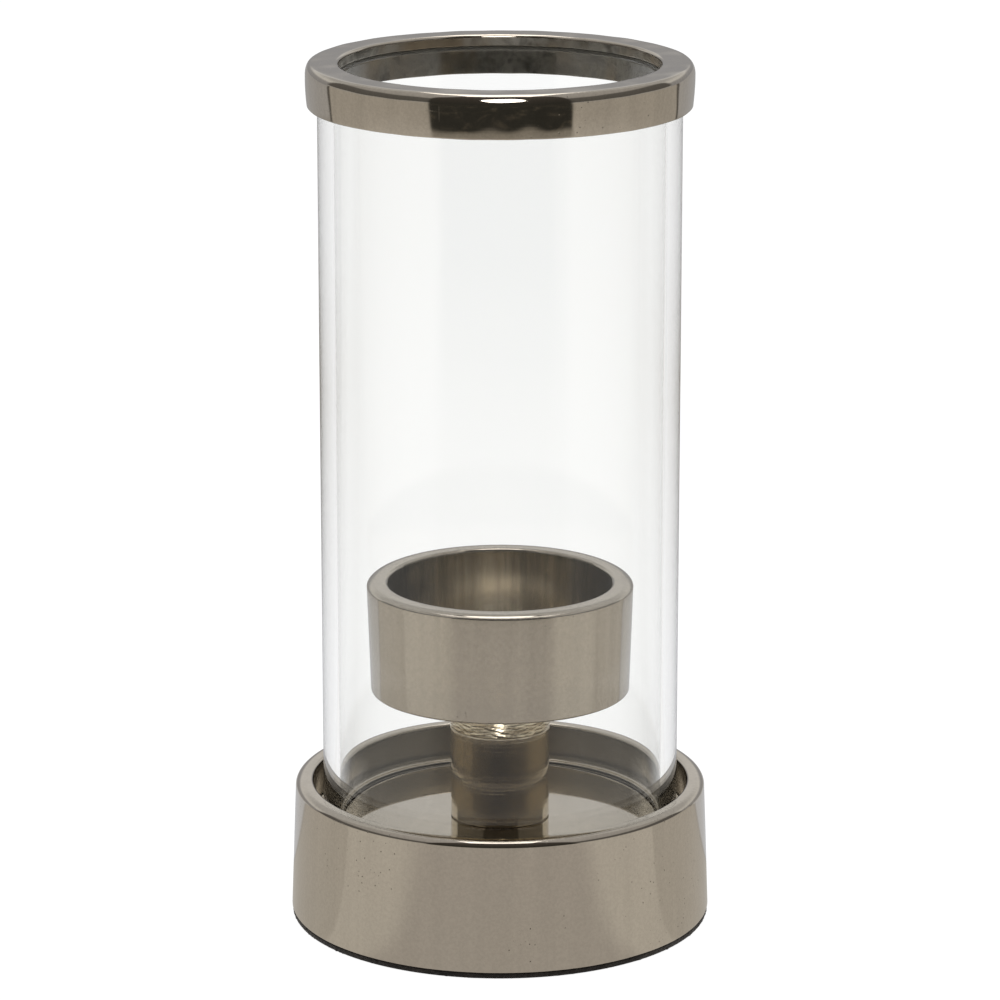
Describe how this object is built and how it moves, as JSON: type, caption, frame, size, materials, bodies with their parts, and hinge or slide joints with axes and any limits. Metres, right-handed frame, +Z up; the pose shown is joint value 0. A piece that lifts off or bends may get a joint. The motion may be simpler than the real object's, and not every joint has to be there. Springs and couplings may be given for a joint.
{
  "type": "hurricane candle lantern",
  "caption": "Nickel-plated candle lantern: a drum base with a sunken tray, a stem carrying a thick candle cup, and a ring-topped clear glass tube that lifts off.",
  "frame": {"origin": "centre of the felt pad's underside, on the surface that the lantern stands on", "axes": "+Z up, along the lantern's axis and the way the shade lifts off; X and Y across it"},
  "size_m": [0.148, 0.148, 0.3046],
  "materials": {
    "polished_nickel": "cast aluminium, nickel-plated and polished to a mirror",
    "turned_stem": "turned tube, dull nickel plate with fine turning marks",
    "bare_collar": "rough-turned, thinly plated, brassy and scratched",
    "clear_glass": "clear tube with smoothed ends",
    "black_felt": "dark pressed felt",
    "fibreboard": "raw fibreboard",
    "zinc_steel": "zinc-plated",
    "clear_adhesive": "cured silicone bead"
  },
  "bodies": {
    "base": {"felt_pad": "black_felt", "base_board": "fibreboard", "base_casting": "polished_nickel", "stem": "turned_stem", "stem_collar": "bare_collar", "candle_cup": "polished_nickel", "tie_bolt": "zinc_steel", "flat_washer": "zinc_steel", "spring_washer": "zinc_steel", "hex_nut": "zinc_steel"},
    "glass_shade": {"glass_cylinder": "clear_glass", "top_ring": "polished_nickel", "ring_adhesive": "clear_adhesive"}
  },
  "joints": [
    {"name": "shade_lift", "type": "slide", "parent": "base", "child": "glass_shade", "axis": [0, 0, 1], "range_m": [0, 0.1]}
  ]
}
